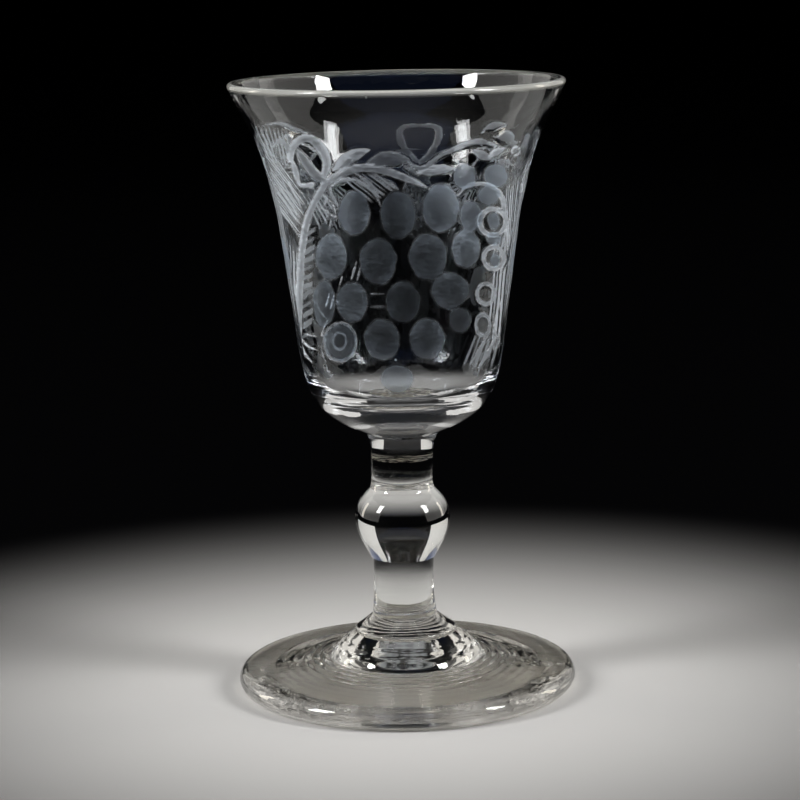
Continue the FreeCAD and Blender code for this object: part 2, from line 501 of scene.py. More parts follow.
def bowl_lathe():
    base_edge = (bowl_collar_top_radius, bowl_base_z)
    floor_z = bowl_base_z + bowl_base_thickness
    floor_edge = (bowl_floor_radius, floor_z + bowl_floor_rise)
    inner_waist = (bowl_waist_radius - wall_at(0), waist_z)
    base_turn = turn_between(base_edge, (bowl_waist_radius, waist_z), base_turn_shares, base_steps)
    lathe = Lathe()
    lathe.outline([(0, bowl_base_z), base_edge], bowl_columns, JOINT)
    lathe.outline(base_turn[1:plain_base_steps], bowl_columns)
    first = len(lathe.verts)
    lathe.outline(base_turn[plain_base_steps:], engraved_columns)
    lathe.outline(bell_side(lambda share: 0, lip_outer_degrees, bell_steps)[1:], engraved_columns)
    lathe.engraved = slice(first, len(lathe.verts))
    inside_runs = (
        circle_arc(lip_centre, bowl_lip_bead_radius, lip_outer_degrees, lip_inner_degrees, lip_steps),
        bell_side(wall_at, lip_inner_degrees, inside_steps)[::-1],
        turn_between(floor_edge, inner_waist, floor_turn_shares, floor_turn_steps)[::-1],
        dish_arc(bowl_floor_radius, floor_edge[1], floor_z, 0, floor_steps),
    )
    for run in inside_runs:
        lathe.outline(run[1:], bowl_columns)
    return lathe


# The engraving. A motif is drawn on a flat sheet, in millimetres across and down. The front sheet
# is the photograph's own plane, so its motifs are given in pixels; the back sheet is wrapped round
# the bell and is given in millimetres.
pixels_per_mm = 4.65
FAR = 9.0
sheet_seam_degrees = 70
wrap_radius = 25.5
grape_dish_depth = 0.16
grape_dish_reach = 3.2
cut_depth = 0.10
cut_slope = 0.30
oval_margin = 2.0
cut_margin = 0.6
cut_steps = 14
straight_cut_steps = 4
least_half_width = 0.1

# Painted light: a motif's upper side is whiter and its lower side darker, as if lit from above: its
# tone in the middle, how much it changes from there to the edges, and its least and most
grape_painted_top_light = (0.95, 0.38, 0.3, 1.4)
cut_painted_top_light = (0.82, 0.78, 0.15, 1.5)
painted_light_direction = np.array([0.35, 0.94])

# Fans of fine cuts: the margin round them, from which to which share of the way across they are
# looked for and in how many lines, and how far from a cut's middle, in lengths of the cut, a point is
# still counted and is still on the cut
hatch_margin = 3.0
hatch_line_shares = (-0.3, 1.3, 81)
hatch_search = 1.0
hatch_half_length = 0.6
least_step = 1e-12

hatch_layers = ("hatch_a_", "hatch_b_")
field_names = ["grape_edge", "grape_tone", "cut_edge", "cut_tone"]
field_names += [layer + field for layer in hatch_layers for field in ("phase", "along", "tone")]


def plain_field(name, count):
    """A field's values where nothing is cut: far from any edge, and without tone."""
    return np.full(count, FAR if name.endswith("edge") else 0.0)


# Painted light: a tone made lighter towards a motif's upper side and darker towards its lower side.
def with_painted_top_light(tone, height, painted_top_light):
    middle, change, least, most = painted_top_light
    return tone * np.clip(middle - change * height, least, most)


class Sheet:
    """Distances, in millimetres, from each point of the sheet to the nearest grape and cut."""

    def __init__(self, across, down, unit=1.0):
        self.spots = np.stack([across, down], axis=1)
        self.unit = unit
        self.fields = {name: plain_field(name, len(across)) for name in field_names}

    def near(self, points, margin):
        """The sheet's points in the box round the given ones, with a margin in millimetres."""
        low = np.min(points, axis=0) - margin / self.unit
        high = np.max(points, axis=0) + margin / self.unit
        return np.nonzero(((self.spots > low) & (self.spots < high)).all(axis=1))[0]

    def near_oval(self, centre, size):
        half = max(size) / 2
        return self.near((np.array(centre) - half, np.array(centre) + half), oval_margin)

    def keep(self, kind, found, edge, tone):
        """Puts in a motif's edge and tone where no other of its kind is nearer."""
        edges, tones = self.fields[kind + "_edge"], self.fields[kind + "_tone"]
        nearer = edge < edges[found]
        edges[found[nearer]] = edge[nearer]
        tones[found[nearer]] = np.broadcast_to(tone, edge.shape)[nearer]

    def oval_distance(self, centre, size, lean, found):
        turn = math.radians(lean)
        x, y = (self.spots[found] - centre).T
        u = (x * math.cos(turn) + y * math.sin(turn)) / (size[0] / 2)
        v = (y * math.cos(turn) - x * math.sin(turn)) / (size[1] / 2)
        return (np.hypot(u, v) - 1) * (size[0] + size[1]) / 4 * self.unit

    def grape(self, centre, size, lean, tone):
        found = self.near_oval(centre, size)
        height = (self.spots[found, 1] - centre[1]) / size[1] * 2
        edge = self.oval_distance(centre, size, lean, found)
        # Painted light: the grape is whiter at its top and darker at its bottom.
        self.keep("grape", found, edge, with_painted_top_light(tone, height, grape_painted_top_light))

    def ring(self, centre, size, width, tone):
        """A grape that is only outlined. The width is in the sheet's own unit."""
        found = self.near_oval(centre, size)
        middle = (size[0] - width, size[1] - width)
        edge = np.abs(self.oval_distance(centre, middle, 0, found)) - width / 2 * self.unit
        self.keep("cut", found, edge, tone)

    def hatch(self, layer, first, last, count, tone):
        """A fan of fine cuts between a first and a last one, each given by its start and its end.

        It keeps which cut a point is at, counted across the fan, and how far along it, from 0 to 1.
        """
        first, last = np.array(first, float), np.array(last, float)
        found = self.near(np.concatenate([first, last]), hatch_margin)
        spots = self.spots[found]
        shares = np.linspace(*hatch_line_shares)
        side = np.empty((len(shares), len(found)))
        along = np.empty((len(shares), len(found)))
        for row, share in enumerate(shares):
            start, end = between(first, last, share)
            run = end - start
            offset = spots - start
            side[row] = run[0] * offset[:, 1] - run[1] * offset[:, 0]
            along[row] = offset @ run / (run @ run)
        crossing = (side[:-1] * side[1:] <= 0) & (np.abs(along[:-1] - 0.5) < hatch_search)
        row = crossing.argmax(axis=0)
        hit = np.nonzero(crossing[row, np.arange(len(found))])[0]
        found, row = found[hit], row[hit]
        low, high = side[row, hit], side[row + 1, hit]
        share = between(shares[row], shares[row + 1], low / (low - high + least_step))
        reach = along[row, hit]
        on_fan = np.abs(share - 0.5) < 0.5 + 0.5 / count
        inside = on_fan & (np.abs(reach - 0.5) < hatch_half_length)
        old_tone = self.fields[layer + "tone"]
        free = inside | (old_tone[found] == 0)
        place = found[free]
        self.fields[layer + "phase"][place] = share[free] * (count - 1) + 0.5
        self.fields[layer + "along"][place] = reach[free]
        old_tone[place] = np.where(inside[free], tone, 0.0)

    def cut(self, points, widths, tone, steps=cut_steps):
        """A wheel cut along a smooth line, whose width goes through the given widths."""
        straight = len(points) == 2
        path = np.array(line(*points, straight_cut_steps) if straight else smooth(points, steps))
        places = np.linspace(0, 1, len(path))
        halves = np.interp(places, np.linspace(0, 1, len(widths)), widths) / 2 * self.unit
        found = self.near(path, halves.max() + cut_margin)
        spots = self.spots[found]
        edge = np.full(len(found), FAR)
        height = np.zeros(len(found))
        for start, end, first, last in zip(path, path[1:], halves, halves[1:]):
            run = end - start
            share = np.clip((spots - start) @ run / (run @ run), 0, 1)
            offset = (spots - start - share[:, None] * run) * self.unit
            half = between(first, last, share)
            new = np.linalg.norm(offset, axis=1) - half
            nearer = new < edge
            edge[nearer] = new[nearer]
            # Painted light: how far a point lies towards the cut's lower side, which is painted darker.
            lower = offset[nearer] @ painted_light_direction
            height[nearer] = np.clip(lower / np.maximum(half[nearer], least_half_width), -1, 1)
        self.keep("cut", found, edge, with_painted_top_light(tone, height, cut_painted_top_light))


# Front sheet, in the photograph's pixels: centre, size and tone of each grape
front_grapes = (
    ((354, 213), (33, 46), 1.0),
    ((398, 215), (37, 50), 0.42),
    ((441, 208), (38, 50), 1.2),
    ((331, 257), (32, 48), 0.9),
    ((378, 261), (38, 49), 0.5),
    ((428, 257), (40, 48), 0.5),
    ((466, 249), (29, 41), 1.0),
    ((352, 302), (33, 42), 0.8),
    ((403, 302), (37, 42), 0.25),
    ((450, 291), (39, 38), 0.42),
    ((382, 340), (37, 44), 0.50),
    ((427, 339), (37, 43), 0.55),
    ((460, 320), (24, 28), 0.22),
    ((340, 342), (33, 39), 0.45),
    ((324, 304), (23, 50), 0.6),
    ((494, 221), (15, 19), 0.8),
    ((494, 238), (16, 15), 0.7),
    ((495, 260), (12, 15), 0.7),
    ((397, 379), (34, 30), 0.45),
    ((465, 177), (25, 28), 0.8),
    ((496, 176), (26, 26), 0.9),
    ((471, 216), (24, 32), 0.9),
    ((489, 195), (24, 22), 0.8),
)

# Grapes that are only outlined: centre, size, width of the outline and tone
front_rings = (
    ((340, 342), (36, 42), 4, 0.26),
    ((339, 341), (16, 20), 3, 0.22),
    ((493, 222), (32, 32), 6, 0.44),
    ((494, 258), (26, 28), 6, 0.38),
    ((486, 294), (23, 25), 5, 0.30),
    ((483, 325), (19, 26), 5, 0.26),
    ((516, 151), (11, 11), 3, 0.55),
)

# Cuts: points, widths and tone. First the arching vine, from the lower left to the right
vine_cuts = (
    (((299, 339), (299, 300), (302, 252), (309, 215), (326, 183)), (6, 9, 8, 8, 8), 0.66),
    (((326, 183), (343, 173), (366, 168), (400, 176), (434, 191)), (8, 9, 9, 8, 1), 0.7),
    (((407, 161), (421, 169), (437, 158), (455, 149), (478, 141), (500, 148)), (4, 6, 5, 7, 7, 3), 0.45),
    (((458, 196), (467, 187), (483, 184), (499, 192), (505, 212), (508, 240)), (3, 5, 6, 6, 5, 3), 0.62),
    (((419, 176), (412, 171), (404, 166)), (2, 5, 3), 0.35),
)
leaf_cuts = (
    (((333, 171), (349, 158), (370, 150)), (2, 14, 12, 2), 1.6),
    (((366, 163), (388, 159), (409, 160)), (2, 15, 16, 3), 0.34),
    (((418, 173), (436, 170), (456, 169)), (3, 11, 10, 2), 1.3),
    (((474, 151), (482, 155), (491, 159)), (4, 11, 3), 0.5),
    (((489, 158), (497, 152), (505, 149)), (3, 9, 3), 0.85),
    (((480, 132), (492, 126), (508, 124)), (1, 9, 2), 0.35),
)

# A ribbon at the left end of the vine, and the fine shading round it
ribbon_cuts = (
    (((290, 160), (294, 145), (307, 138), (320, 147), (327, 162), (323, 178)), (7, 9, 9, 11, 10, 7), 1.0),
    (((297, 150), (306, 163), (315, 174), (327, 181)), (5, 10, 11, 7), 0.48),
    (((290, 158), (296, 173), (300, 185), (312, 185)), (4, 7, 5, 6), 0.75),
    (((298, 143), (310, 148), (320, 156)), (1.5, 2.5, 1.5), 0.80),
    (((262, 126), (280, 124), (298, 130), (312, 134)), (2, 5, 4, 2), 0.42),
    (((270, 150), (281, 141), (289, 150)), (3, 7, 4), 0.45),
)
under_arch_cuts = (
    (((331, 187), (345, 180), (358, 182)), (2, 6, 2), 0.50),
    (((346, 178), (362, 184), (375, 194)), (2, 5, 2), 0.45),
    (((356, 174), (368, 182), (379, 193)), (2, 5, 2), 0.40),
    (((364, 180), (374, 192), (381, 207)), (2, 5, 2), 0.42),
    (((371, 174), (382, 182), (392, 191)), (2, 5, 2), 0.38),
    (((381, 177), (390, 183), (399, 190)), (2, 4, 2), 0.34),
    (((406, 183), (403, 190)), (3, 2), 0.30),
    (((329, 189), (334, 199), (339, 208)), (3, 5, 2), 0.50),
    (((316, 196), (326, 198), (323, 208)), (2, 4, 2), 0.48),
    (((327, 199), (334, 207), (336, 217)), (2, 3, 1), 0.60),
    (((319, 207), (328, 213), (336, 218)), (2, 4, 2), 0.55),
    (((331, 219), (330, 226), (328, 231)), (2, 3, 1), 0.50),
    (((307, 190), (312, 196), (315, 191), (309, 188)), (1.5, 2, 2, 1.5), 0.55),
)
lower_cuts = (
    (((301, 339), (309, 347), (319, 351)), (3, 3, 1), 0.85),
    (((301, 345), (307, 357), (316, 366)), (3, 3, 1), 0.85),
    (((304, 334), (312, 336), (320, 338)), (2, 3, 1), 0.65),
    (((322, 336), (325, 325), (331, 316)), (2, 2.5, 1), 0.55),
    (((321, 344), (323, 356), (328, 366)), (1.5, 3, 1), 0.35),
    (((329, 294), (327, 301), (325, 308)), (1.5, 2.5, 1), 0.75),
    (((334, 295), (332, 303), (330, 310)), (1.5, 2.5, 1), 0.75),
    (((342, 277), (340, 284), (338, 292)), (1.5, 2.5, 1), 0.55),
    (((357, 261), (354, 271), (351, 281)), (1.5, 2.5, 1), 0.50),
    (((361, 264), (359, 274), (356, 284)), (1.5, 2.5, 1), 0.42),
    (((316, 303), (320, 312), (326, 319)), (1.5, 2, 1), 0.50),
    (((371, 294), (384, 294)), (2.5, 2.5), 0.22),
    (((371, 307), (384, 307)), (3, 3), 0.15),
    (((490, 332), (481, 348), (469, 366)), (3, 6, 2), 0.34),
    (((497, 335), (488, 354), (478, 370)), (3, 6, 2), 0.34),
    (((323, 367), (330, 374), (337, 386)), (2, 2.5, 1.5), 0.40),
    (((503, 298), (494, 330), (495, 350), (503, 332), (506, 305)), (2, 3, 3, 3, 2), 0.50),
)

# Fans of fine cuts: layer, start and end of the first and of the last one, how many, and tone
front_fans = (
    (0, ((252, 128), (309, 203)), ((262, 186), (303, 240)), 15, 0.95),
    (1, ((250, 122), (272, 172)), ((286, 128), (292, 168)), 9, 0.60),
    (1, ((262, 186), (297, 232)), ((286, 176), (304, 214)), 6, 0.70),
    (0, ((287, 236), (290, 334)), ((300, 246), (301, 336)), 5, 0.75),
    (1, ((301, 238), (317, 228)), ((301, 288), (313, 284)), 7, 0.34),
    (1, ((301, 297), (316, 289)), ((301, 338), (312, 331)), 5, 0.26),
    (0, ((496, 262), (488, 330)), ((510, 246), (501, 352)), 5, 0.75),
    (0, ((507, 180), (504, 262)), ((519, 172), (511, 250)), 6, 0.75),
    (1, ((498, 236), (492, 262)), ((516, 224), (510, 258)), 6, 0.55),
    (1, ((340, 176), (374, 204)), ((372, 172), (398, 190)), 7, 0.55),
    (0, ((305, 196), (322, 232)), ((318, 188), (336, 214)), 6, 0.55),
    (1, ((478, 332), (462, 370)), ((500, 334), (490, 372)), 6, 0.30),
)


def draw_fans(sheet, fans):
    for layer, first, last, count, tone in fans:
        sheet.hatch(hatch_layers[layer], first, last, count, tone)


def draw_front(sheet):
    for centre, size, tone in front_grapes:
        sheet.grape(centre, size, 0, tone)
    for centre, size, width, tone in front_rings:
        sheet.ring(centre, size, width, tone)
    for cuts in (vine_cuts, leaf_cuts, ribbon_cuts, under_arch_cuts, lower_cuts):
        for points, widths, tone in cuts:
            sheet.cut(points, widths, tone)
    draw_fans(sheet, front_fans)


# Back sheet, in millimetres: across the wrapped bell from the front, and down from the rim. Places
# round the bell are shares of its turn. First the bunches, and how much their grapes differ.
back_seed = 33
bunch_places = (0.30, 0.70)
bunch_rows = (3, 4, 3, 2, 1)
bunch_pitch = (8.6, 9.2)
bunch_top = 29.0
bunch_shake = 0.6
grape_size = (7.6, 9.8)
grape_size_shares = (0.86, 1.04)
grape_lean_degrees = 8
grape_tones = (0.6, 1.0)

# A bunch's stalk and leaf on one side, across and down from a root above the bunch, and the hairs
# of the leaf
root_rise = 5.6
stalk_cuts = (
    (((0, -3.0), (5, -3.6), (11, -1.4)), (0.8, 1.6, 0.4), 0.55),
    (((2, -6.6), (6, -8.6), (10, -8.2)), (0.4, 3.0, 2.6, 0.4), 0.8),
)
leaf_hair = ((((2.0, -2.6), (3.6, -0.6), (4.6, 2.0)), (0.4, 1.0, 0.3), 0.42),)
leaf_hair_count = 4
leaf_hair_pitch = 1.9

# The ribbon loop and the spray that hangs from its knot, across and down from the knot. The strokes
# go from the middle one to the outer one on each side, and grains sit along their lower parts.
ribbon_place = 0.472
knot_down = 21.5
ribbon_steps = 30
ribbon_loop = ((0.4, 0), (-3.8, -5.1), (-3.4, -8.7), (0, -9.5), (3.6, -8.7), (3.6, -5.1), (-0.4, 0))
ribbon_style = ((1.5, 1.7, 1.8, 1.2, 1.8, 1.7, 1.5), 0.28)
ribbon_tail = ((((0, 0), (4, 1.5), (7, -0.5)), (1.4, 1.6, 0.6), 0.5),)
middle_stroke = ((0, 0.5), (0, 9), (0, 20))
outer_stroke = ((1.4, 0.5), (4, 7), (7.5, 14))
stroke_style = ((0.4, 0.7, 0.2), 0.24)
stroke_count = 13
grain_shares = (0.15, 0.32, 0.49)
grain = ((((0, 0), (1.1, -1.8)), (0.8, 0.2), 0.2),)

# The vine over the bunches, with a leaf at each bend, and the strokes of the border under them
vine_spans = ((0.17, 0.42), (0.55, 0.83))
vine_stops = 8
vine_down = 20.0
vine_swing = 2.0
vine_style = ((0.8, 1.2, 0.8), 0.5)
vine_leaf_across = 4.0
vine_leaf_swings = 2.2
vine_leaf_style = ((0.4, 2.6, 0.3), 0.6)
border_places = (0.19, 0.81, 12)
border_stroke = np.array(((0, -3), (0.8, 0), (-0.4, 3)))
border_style = ((0.3, 0.7, 0.2), 0.4)

# Fans of the back sheet, in millimetres, in the same form as the front ones
back_fans = (
    (0, ((31, 15), (32, 54)), ((38, 17), (37, 50)), 9, 0.75),
    (0, ((122, 17), (124, 50)), ((129, 15), (128, 54)), 9, 0.75),
    (1, ((33, 12), (42, 27)), ((42, 12), (49, 24)), 11, 0.6),
    (1, ((118, 12), (111, 24)), ((127, 12), (118, 27)), 11, 0.6),
    (1, ((58, 22), (66, 40)), ((64, 20), (72, 30)), 9, 0.5),
    (1, ((100, 20), (88, 30)), ((104, 22), (94, 40)), 9, 0.5),
)


def draw_pair(sheet, centre, cuts, outward=0.0):
    """Cuts on both sides of a centre. They are given for the right side, and can be moved outward."""
    for side in (-1, 1):
        for points, widths, tone in cuts:
            sheet.cut((np.array(points) + (outward, 0)) * (side, 1) + centre, widths, tone)


def draw_bunch(sheet, middle, generator):
    """A hanging bunch of grapes, with a leaf each side of its stalk."""
    for row, count in enumerate(bunch_rows):
        for place in range(count):
            shake = generator.uniform(-bunch_shake, bunch_shake, 2)
            across = middle + (place - (count - 1) / 2) * bunch_pitch[0] + shake[0]
            down = bunch_top + row * bunch_pitch[1] + shake[1]
            size = np.array(grape_size) * generator.uniform(*grape_size_shares)
            lean = generator.uniform(-grape_lean_degrees, grape_lean_degrees)
            sheet.grape((across, down), size, lean, generator.uniform(*grape_tones))
    root = (middle, bunch_top - root_rise)
    draw_pair(sheet, root, stalk_cuts)
    for step in range(leaf_hair_count):
        draw_pair(sheet, root, leaf_hair, step * leaf_hair_pitch)


def draw_spray(sheet, knot):
    """A ribbon loop, as the photograph shows it, with a spray of long strokes hanging from its knot."""
    sheet.cut(np.array(ribbon_loop) + knot, *ribbon_style, ribbon_steps)
    for share in np.linspace(-1, 1, stroke_count):
        stroke = between(np.array(middle_stroke), np.array(outer_stroke), abs(share))
        stroke = stroke * (math.copysign(1, share), 1) + knot
        sheet.cut(stroke, *stroke_style)
        for grain_share in grain_shares:
            draw_pair(sheet, between(stroke[1], stroke[2], grain_share), grain)
    draw_pair(sheet, knot, ribbon_tail)


def draw_back(sheet):
    """The rest of the pattern. The photograph shows only a ribbon loop of it, through the front wall."""
    generator = np.random.default_rng(back_seed)
    round_bell = 2 * math.pi * wrap_radius
    for place in bunch_places:
        draw_bunch(sheet, place * round_bell, generator)
    draw_spray(sheet, (ribbon_place * round_bell, knot_down))
    draw_fans(sheet, back_fans)
    for span in vine_spans:
        stops = np.linspace(*span, vine_stops) * round_bell
        for number, (low, high) in enumerate(zip(stops, stops[1:])):
            swing = vine_swing * (-1) ** number
            middle = ((low + high) / 2, vine_down + swing)
            sheet.cut(((low, vine_down), middle, (high, vine_down)), *vine_style)
            leaf_end = (middle[0] + vine_leaf_across, vine_down + swing * vine_leaf_swings)
            sheet.cut(np.linspace(middle, leaf_end, 3), *vine_leaf_style)
    border_down = bunch_top + len(bunch_rows) * bunch_pitch[1]
    for place in np.linspace(*border_places):
        sheet.cut(border_stroke + (place * round_bell, border_down), *border_style)


def engrave(lathe):
    """Sinks the motifs into the bell's outside, and returns their distances and tones by vertex."""
    verts = np.array(lathe.verts)
    bell = verts[lathe.engraved]
    right, up, forward = camera_axes()
    offset = bell - camera_place
    per_mm = camera_focal_pixels / (offset @ forward)
    middle = frame_pixels / 2
    front = Sheet(middle + offset @ right * per_mm, middle - offset @ up * per_mm, 1 / pixels_per_mm)
    draw_front(front)
    azimuth = np.degrees(np.arctan2(bell[:, 0], -bell[:, 1]))
    back = Sheet(np.radians(azimuth % 360) * wrap_radius, rim_z - bell[:, 2])
    draw_back(back)
    at_front = np.abs(azimuth) < sheet_seam_degrees
    fields = {name: plain_field(name, len(verts)) for name in field_names}
    for name, values in fields.items():
        values[lathe.engraved] = np.where(at_front, front.fields[name], back.fields[name])
    inside_grape = np.clip(-fields["grape_edge"] / grape_dish_reach, 0, 1)
    inside_cut = np.clip(-fields["cut_edge"], 0, cut_depth / cut_slope)
    sunk = grape_dish_depth * (1 - (1 - inside_grape) ** 2) + inside_cut * cut_slope
    radii = np.hypot(verts[:, 0], verts[:, 1])
    verts[:, :2] *= (1 - sunk / np.maximum(radii, pole_radius))[:, None]
    lathe.verts = [tuple(v) for v in verts]
    return fields


class Nodes:
    """One material, and short ways to add and join its nodes."""

    def __init__(self, name):
        self.material = bpy.data.materials.new(name)
        self.material.use_nodes = True
        self.tree = self.material.node_tree
        self.shader = self.tree.nodes["Principled BSDF"]

    def add(self, kind, inputs=(), **settings):
        node = self.tree.nodes.new("ShaderNode" + kind)
        for name, value in settings.items():
            setattr(node, name, value)
        self.join(inputs, node)
        return node

    def join(self, inputs, node):
        """Sets a node's inputs, each by a value or by another node's output."""
        for key, value in dict(inputs).items():
            if hasattr(value, "is_output"):
                self.tree.links.new(value, node.inputs[key])
            else:
                node.inputs[key].default_value = value

    def object_place(self):
        return self.add("TexCoord").outputs["Object"]

    def attribute(self, name):
        return self.add("Attribute", attribute_name=name).outputs["Fac"]

    def maths(self, operation, *values):
        return self.add("Math", enumerate(values), operation=operation).outputs["Value"]

    def product(self, first, *others):
        for other in others:
            first = self.maths("MULTIPLY", first, other)
        return first

    def largest(self, first, *others):
        for other in others:
            first = self.maths("MAXIMUM", first, other)
        return first

    def length(self, vector):
        return self.add("VectorMath", {0: vector}, operation="LENGTH").outputs["Value"]

    def spread(self, value, low, high, new_low=0.0, new_high=1.0):
        """A smooth step of value from low to high, into new_low to new_high."""
        inputs = {"Value": value, "From Min": low, "From Max": high, "To Min": new_low, "To Max": new_high}
        return self.add("MapRange", inputs, interpolation_type="SMOOTHSTEP").outputs["Result"]

    def fall(self, value, low, high):
        """A smooth step from 1 at low to 0 at high."""
        return self.spread(value, low, high, 1.0, 0.0)

    def noise(self, place, scale, detail=2.0, roughness=0.5):
        inputs = {"Vector": place, "Scale": scale, "Detail": detail, "Roughness": roughness}
        return self.add("TexNoise", inputs).outputs["Fac"]

    def mottle(self, place, scale, detail, *limits):
        return self.spread(self.noise(place, scale, detail), *limits)

    def shake(self, value, place, amount, scale, detail):
        """The value, moved up or down by noise times the amount."""
        noise = self.maths("SUBTRACT", self.noise(place, scale, detail), 0.5)
        return self.maths("MULTIPLY_ADD", noise, amount, value)

    def stretched(self, place, scales):
        return self.add("Mapping", {"Vector": place, "Scale": scales}).outputs["Vector"]

    def mix(self, share, first, second):
        inputs = {"Factor": share, "A": first, "B": second}
        return self.add("Mix", inputs, data_type="RGBA").outputs["Result"]

    def bump(self, height, distance, normal=None):
        node = self.add("Bump", {"Height": height, "Distance": distance * MM})
        if normal is not None:
            self.join({"Normal": normal}, node)
        return node.outputs["Normal"]


# Glass. Each glass has its tint, its cloudier tint and the depth of its ripples in millimetres.
glass_ior = 1.51
polished_roughness = 0.004
smeared_roughness = 0.02
frosted_roughness = 0.27
stem_look = ((0.965, 0.97, 0.96, 1), (0.94, 0.95, 0.93, 1), 0.04)
foot_look = ((0.97, 0.96, 0.92, 1), (0.95, 0.925, 0.86, 1), 0.09)
bowl_look = ((0.965, 0.97, 0.975, 1), (0.94, 0.955, 0.965, 1), 0.03)
frost_white = (0.79, 0.85, 0.92, 1)
# Painted light: the grapes' white is bluer, for the blue front light on the middle of the bell.
grape_white_with_painted_blue_light = (0.70, 0.81, 0.94, 1)
# The lip's cream white: the colour of its wear and of its painted glow.
lip_wear_and_glow_colour = (0.90, 0.90, 0.83, 1)

# Noises: their scale, to a metre, and their detail
swell_noise = (110, 2)
ripple_noise = (320, 2)
grain_noise = (4500, 2)

# Mottling: a noise, the limits that are spread out, and what they are spread into
clouding = (45, 3, 0.35, 0.7)
smearing = (70, 4, 0.45, 0.85, polished_roughness, smeared_roughness)
scratching = (1, 1, 0.71, 0.78)
handling = (60, 2, 0.5, 0.65)

# Noises that are stretched, as scales along the three axes. Then the bumps, as shares of the
# ripples' depth or in millimetres.
swell_scales = (1, 1, 0.35)
scratch_scales = (110, 110, 3600)
swell_share = 2
ripple_share = 0.4
grain_height = 0.006

# Seeds: how many to a metre, their size as a share of their spacing, and the share of places that
# has one. Then how white seeds and scratches are, and the limits between which white turns matt
# and the lip's wear and painted glow turn pale.
seed_pattern = (170, 0.048, 0.22)
seed_core_share = 0.5
seed_frost = 0.8
scratch_frost = 0.08
matt_limits = (0.01, 0.12)
lip_wear_and_glow_limits = (0.0, 0.1)


def seeds(nodes, place, scale, size, share):
    """Small bright seeds, which are bubbles and grit in old glass."""
    cells = nodes.add("TexVoronoi", {"Vector": place, "Scale": scale}, feature="F1").outputs
    red = nodes.add("SeparateColor", {"Color": cells["Color"]}).outputs["Red"]
    spot = nodes.fall(cells["Distance"], size * seed_core_share, size)
    return nodes.product(spot, nodes.maths("GREATER_THAN", red, 1 - share))


def hairlines(nodes, place):
    """Short fine scratches that run round the form."""
    drawn_out = nodes.mottle(nodes.stretched(place, scratch_scales), *scratching)
    return nodes.product(drawn_out, nodes.mottle(place, *handling))


def old_glass(name, tint, cloud_tint, ripple, frost_of=None):
    """Clear old glass, faintly tinted and rippled, with seeds and fine scratches.

    frost_of(nodes, place) gives how white the surface is where it is cut or worn, how matt,
    each from 0 to 1, and the colour of the white.
    """
    nodes = Nodes(name)
    place = nodes.object_place()
    colour = nodes.mix(nodes.mottle(place, *clouding), tint, cloud_tint)
    spots = nodes.product(seeds(nodes, place, *seed_pattern), seed_frost)
    white = nodes.largest(spots, nodes.product(hairlines(nodes, place), scratch_frost))
    matt = nodes.spread(white, *matt_limits)
    white_colour = frost_white
    if frost_of is not None:
        frost, frost_matt, white_colour = frost_of(nodes, place)
        white = nodes.largest(white, frost)
        matt = nodes.largest(matt, frost_matt)
    colour = nodes.mix(matt, colour, white_colour)
    # Painted light: the lip's bead turns paler and creamier, partly by wear, partly by a painted glow.
    lip_worn_and_glowing = nodes.spread(nodes.attribute("lip_wear_and_painted_glow"), *lip_wear_and_glow_limits)
    smear = nodes.mottle(place, *smearing)
    swell = nodes.noise(nodes.stretched(place, swell_scales), *swell_noise)
    swelling = nodes.bump(swell, ripple * swell_share)
    rippled = nodes.bump(nodes.noise(place, *ripple_noise), ripple * ripple_share, swelling)
    grain = nodes.product(nodes.noise(place, *grain_noise), matt)
    inputs = {
        "Base Color": nodes.mix(lip_worn_and_glowing, colour, lip_wear_and_glow_colour),
        "Roughness": nodes.maths("ADD", smear, nodes.product(matt, frosted_roughness)),
        "Transmission Weight": nodes.maths("SUBTRACT", 1.0, white),
        "IOR": glass_ior,
        "Normal": nodes.bump(grain, grain_height, rippled),
    }
    nodes.join(inputs, nodes.shader)
    return nodes.material


# Fine hatching. Each cut has a random value from 0 to 1, which is multiplied by the first number of
# a pair and added to the second, for half its width, as a share of the pitch, for where it has begun
# and starts to end, as shares of its length, and for its brightness.
hatch_frost = 0.62
hatch_shake = (0.6, 230, 1)
hatch_width = (0.14, 0.13)
hatch_blur = 0.14
hatch_begun = (0.2, 0.05)
hatch_ending = (0.3, 0.6)
hatch_brightness = (0.5, 0.6)
hatch_tone_limits = (0.1, 0.25)


def hatch_lines(nodes, place, layer):
    """Fine cuts side by side, each with its own tone and its own ends."""
    phase = nodes.shake(nodes.attribute(layer + "phase"), place, *hatch_shake)
    number = nodes.maths("FLOOR", phase)
    own = nodes.add("TexWhiteNoise", {"W": number}, noise_dimensions="1D").outputs["Value"]
    along = nodes.attribute(layer + "along")
    tone = nodes.attribute(layer + "tone")
    off_centre = nodes.maths("ABSOLUTE", nodes.maths("SUBTRACT", nodes.maths("FRACT", phase), 0.5))
    width = nodes.maths("MULTIPLY_ADD", own, *hatch_width)
    share = nodes.product(
        nodes.fall(off_centre, width, nodes.maths("ADD", width, hatch_blur)),
        nodes.spread(along, 0.0, nodes.maths("MULTIPLY_ADD", own, *hatch_begun)),
        nodes.fall(along, nodes.maths("MULTIPLY_ADD", own, *hatch_ending), 1.0),
        nodes.spread(tone, *hatch_tone_limits),
    )
    bright = nodes.maths("MULTIPLY_ADD", own, *hatch_brightness)
    return share, nodes.product(share, tone, bright, hatch_frost)


# Grapes and cuts: how far noise moves their edge, in millimetres, over which distances from the edge
# they fade out, and over which their white goes from its first to its last value. A grape's white
# rising towards its edge is a painted highlight.
edge_noise = (420, 2)
motifs = (
    ("grape", 1.1, (-0.42, 0.20), (-3.0, 0.0, 0.07, 0.16)),
    ("cut", 0.5, (-0.24, 0.10), (-0.9, -0.1, 0.42, 0.95)),
)
wheel_scales = (0.7, 0.7, 2.4)
wheel_marking = (900, 3, 0.3, 0.7, 0.4, 1.6)
grape_clouding = (200, 2, 0.3, 0.7, 0.55, 1.45)
lip_matt = 0.2
whitest = 0.95


